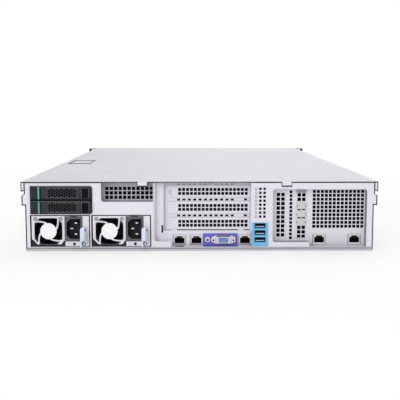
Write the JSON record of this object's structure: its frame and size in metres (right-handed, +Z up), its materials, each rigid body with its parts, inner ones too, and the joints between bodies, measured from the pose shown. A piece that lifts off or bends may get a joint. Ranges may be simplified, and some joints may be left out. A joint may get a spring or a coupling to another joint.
{
  "type": "rack server",
  "caption": "Flat rack-mounted server with sliding drive carriers, pull-out power supplies, card slots, ports and a latched sliding top cover.",
  "frame": {"origin": "middle of the chassis pan's underside", "axes": "+Y from the rear face to the front, +Z up, +X to the right seen from behind"},
  "size_m": [0.4826, 0.8116, 0.087],
  "materials": {
    "pale_steel": "satin zinc-grey sheet",
    "grey_steel": "satin sheet",
    "bright_steel": "bright sheet",
    "black_plastic": "matt",
    "grey_plastic": "matt",
    "charcoal": "dark carrier with its drive",
    "pale_blue_plastic": "satin",
    "violet_plastic": "printed plate",
    "sky_plastic": "printed plate",
    "white_plastic": "satin",
    "board_green": "circuit board",
    "fin_aluminium": "plain"
  },
  "bodies": {
    "chassis": {"chassis_pan": "pale_steel", "left_rear_panel": "pale_steel", "right_rear_panel": "pale_steel", "vent_grille": "grey_steel", "port_plate": "pale_steel", "riser_cage": "pale_steel", "slot_covers": "pale_steel", "network_plate": "pale_steel", "card_brackets": "bright_steel", "network_jacks": "bright_steel", "video_plate": "violet_plastic", "video_socket": "bright_steel", "usb_plate": "sky_plastic", "usb_sockets": "bright_steel", "rear_bays": "grey_steel", "front_bays": "grey_steel", "left_ear": "pale_steel", "right_ear": "pale_steel", "fan_wall": "black_plastic", "main_board": "board_green", "processor_coolers": "fin_aluminium", "memory_modules": "board_green", "front_backplane": "board_green", "rear_backplane": "board_green", "power_board": "board_green", "riser_board": "board_green"},
    "cover": {"top_cover": "pale_steel"},
    "cover_lever": {"cover_lever": "white_plastic"},
    "locator_button": {"locator_button": "white_plastic"},
    "power_button": {"power_button": "white_plastic"},
    "fan_rotor_1": {"fan_rotor_1": "black_plastic"},
    "fan_rotor_2": {"fan_rotor_2": "black_plastic"},
    "fan_rotor_3": {"fan_rotor_3": "black_plastic"},
    "fan_rotor_4": {"fan_rotor_4": "black_plastic"},
    "psu_1": {"psu_1_case": "bright_steel", "psu_1_inlet": "grey_plastic"},
    "psu_1_rotor": {"psu_1_fan_rotor": "black_plastic"},
    "psu_1_latch": {"psu_1_latch": "pale_blue_plastic"},
    "psu_2": {"psu_2_case": "bright_steel", "psu_2_inlet": "grey_plastic"},
    "psu_2_rotor": {"psu_2_fan_rotor": "black_plastic"},
    "psu_2_latch": {"psu_2_latch": "pale_blue_plastic"},
    "rear_carrier_1": {"rear_carrier_1": "charcoal"},
    "rear_carrier_1_lever": {"rear_carrier_1_lever": "grey_plastic"},
    "rear_carrier_1_button": {"rear_carrier_1_button": "black_plastic"},
    "rear_carrier_2": {"rear_carrier_2": "charcoal"},
    "rear_carrier_2_lever": {"rear_carrier_2_lever": "grey_plastic"},
    "rear_carrier_2_button": {"rear_carrier_2_button": "black_plastic"},
    "front_carrier_1": {"front_carrier_1": "charcoal"},
    "front_carrier_2": {"front_carrier_2": "charcoal"},
    "front_carrier_3": {"front_carrier_3": "charcoal"},
    "front_carrier_4": {"front_carrier_4": "charcoal"},
    "front_carrier_5": {"front_carrier_5": "charcoal"},
    "front_carrier_6": {"front_carrier_6": "charcoal"},
    "front_carrier_7": {"front_carrier_7": "charcoal"},
    "front_carrier_8": {"front_carrier_8": "charcoal"},
    "front_carrier_9": {"front_carrier_9": "charcoal"},
    "front_carrier_10": {"front_carrier_10": "charcoal"},
    "front_carrier_11": {"front_carrier_11": "charcoal"},
    "front_carrier_12": {"front_carrier_12": "charcoal"}
  },
  "joints": [
    {"name": "cover_slide", "type": "slide", "parent": "chassis", "child": "cover", "axis": [0, -1, 0], "range_m": [0, 0.018]},
    {"name": "cover_lever_hinge", "type": "hinge", "parent": "cover", "child": "cover_lever", "pos_m": [-0.195, -0.0148, 0.0852], "axis": [-1, 0, 0], "range_deg": [0, 80]},
    {"name": "locator_press", "type": "slide", "parent": "chassis", "child": "locator_button", "axis": [0, 1, 0], "range_m": [0, 0.0012], "stiffness_N_per_m": 400},
    {"name": "power_press", "type": "slide", "parent": "chassis", "child": "power_button", "axis": [0, -1, 0], "range_m": [0, 0.001], "stiffness_N_per_m": 400},
    {"name": "fan_1_spin", "type": "hinge", "parent": "chassis", "child": "fan_rotor_1", "pos_m": [-0.1575, 0.0846, 0.0428], "axis": [0, -1, 0], "continuous": true},
    {"name": "fan_2_spin", "type": "hinge", "parent": "chassis", "child": "fan_rotor_2", "pos_m": [-0.0525, 0.0846, 0.0428], "axis": [0, -1, 0], "continuous": true},
    {"name": "fan_3_spin", "type": "hinge", "parent": "chassis", "child": "fan_rotor_3", "pos_m": [0.0525, 0.0846, 0.0428], "axis": [0, -1, 0], "continuous": true},
    {"name": "fan_4_spin", "type": "hinge", "parent": "chassis", "child": "fan_rotor_4", "pos_m": [0.1575, 0.0846, 0.0428], "axis": [0, -1, 0], "continuous": true},
    {"name": "psu_1_slide", "type": "slide", "parent": "chassis", "child": "psu_1", "axis": [0, -1, 0], "range_m": [0, 0.19]},
    {"name": "psu_1_fan_spin", "type": "hinge", "parent": "psu_1", "child": "psu_1_rotor", "pos_m": [-0.1897, -0.378, 0.025], "axis": [0, -1, 0], "continuous": true},
    {"name": "psu_1_latch_swing", "type": "hinge", "parent": "psu_1", "child": "psu_1_latch", "pos_m": [-0.1447, -0.394, 0.0096], "axis": [0, -1, 0], "range_deg": [0, 6], "stiffness_Nm_per_rad": 0.4},
    {"name": "psu_2_slide", "type": "slide", "parent": "chassis", "child": "psu_2", "axis": [0, -1, 0], "range_m": [0, 0.19]},
    {"name": "psu_2_fan_spin", "type": "hinge", "parent": "psu_2", "child": "psu_2_rotor", "pos_m": [-0.1133, -0.378, 0.025], "axis": [0, -1, 0], "continuous": true},
    {"name": "psu_2_latch_swing", "type": "hinge", "parent": "psu_2", "child": "psu_2_latch", "pos_m": [-0.0683, -0.394, 0.0096], "axis": [0, -1, 0], "range_deg": [0, 6], "stiffness_Nm_per_rad": 0.4},
    {"name": "rear_carrier_1_slide", "type": "slide", "parent": "chassis", "child": "rear_carrier_1", "axis": [0, -1, 0], "range_m": [0, 0.12]},
    {"name": "rear_carrier_1_lever_hinge", "type": "hinge", "parent": "rear_carrier_1", "child": "rear_carrier_1_lever", "pos_m": [-0.1956, -0.3902, 0.07335], "axis": [0, 0, -1], "range_deg": [0, 60]},
    {"name": "rear_carrier_1_button_press", "type": "slide", "parent": "rear_carrier_1", "child": "rear_carrier_1_button", "axis": [0, 1, 0], "range_m": [0, 0.0015], "stiffness_N_per_m": 500},
    {"name": "rear_carrier_2_slide", "type": "slide", "parent": "chassis", "child": "rear_carrier_2", "axis": [0, -1, 0], "range_m": [0, 0.12]},
    {"name": "rear_carrier_2_lever_hinge", "type": "hinge", "parent": "rear_carrier_2", "child": "rear_carrier_2_lever", "pos_m": [-0.1956, -0.3902, 0.05515], "axis": [0, 0, -1], "range_deg": [0, 60]},
    {"name": "rear_carrier_2_button_press", "type": "slide", "parent": "rear_carrier_2", "child": "rear_carrier_2_button", "axis": [0, 1, 0], "range_m": [0, 0.0015], "stiffness_N_per_m": 500},
    {"name": "front_carrier_1_slide", "type": "slide", "parent": "chassis", "child": "front_carrier_1", "axis": [0, 1, 0], "range_m": [0, 0.16]},
    {"name": "front_carrier_2_slide", "type": "slide", "parent": "chassis", "child": "front_carrier_2", "axis": [0, 1, 0], "range_m": [0, 0.16]},
    {"name": "front_carrier_3_slide", "type": "slide", "parent": "chassis", "child": "front_carrier_3", "axis": [0, 1, 0], "range_m": [0, 0.16]},
    {"name": "front_carrier_4_slide", "type": "slide", "parent": "chassis", "child": "front_carrier_4", "axis": [0, 1, 0], "range_m": [0, 0.16]},
    {"name": "front_carrier_5_slide", "type": "slide", "parent": "chassis", "child": "front_carrier_5", "axis": [0, 1, 0], "range_m": [0, 0.16]},
    {"name": "front_carrier_6_slide", "type": "slide", "parent": "chassis", "child": "front_carrier_6", "axis": [0, 1, 0], "range_m": [0, 0.16]},
    {"name": "front_carrier_7_slide", "type": "slide", "parent": "chassis", "child": "front_carrier_7", "axis": [0, 1, 0], "range_m": [0, 0.16]},
    {"name": "front_carrier_8_slide", "type": "slide", "parent": "chassis", "child": "front_carrier_8", "axis": [0, 1, 0], "range_m": [0, 0.16]},
    {"name": "front_carrier_9_slide", "type": "slide", "parent": "chassis", "child": "front_carrier_9", "axis": [0, 1, 0], "range_m": [0, 0.16]},
    {"name": "front_carrier_10_slide", "type": "slide", "parent": "chassis", "child": "front_carrier_10", "axis": [0, 1, 0], "range_m": [0, 0.16]},
    {"name": "front_carrier_11_slide", "type": "slide", "parent": "chassis", "child": "front_carrier_11", "axis": [0, 1, 0], "range_m": [0, 0.16]},
    {"name": "front_carrier_12_slide", "type": "slide", "parent": "chassis", "child": "front_carrier_12", "axis": [0, 1, 0], "range_m": [0, 0.16]}
  ],
  "couplings": [
    {"joint": "cover_lever_hinge", "follows": "cover_slide", "rad_per_m": 77.085}
  ]
}
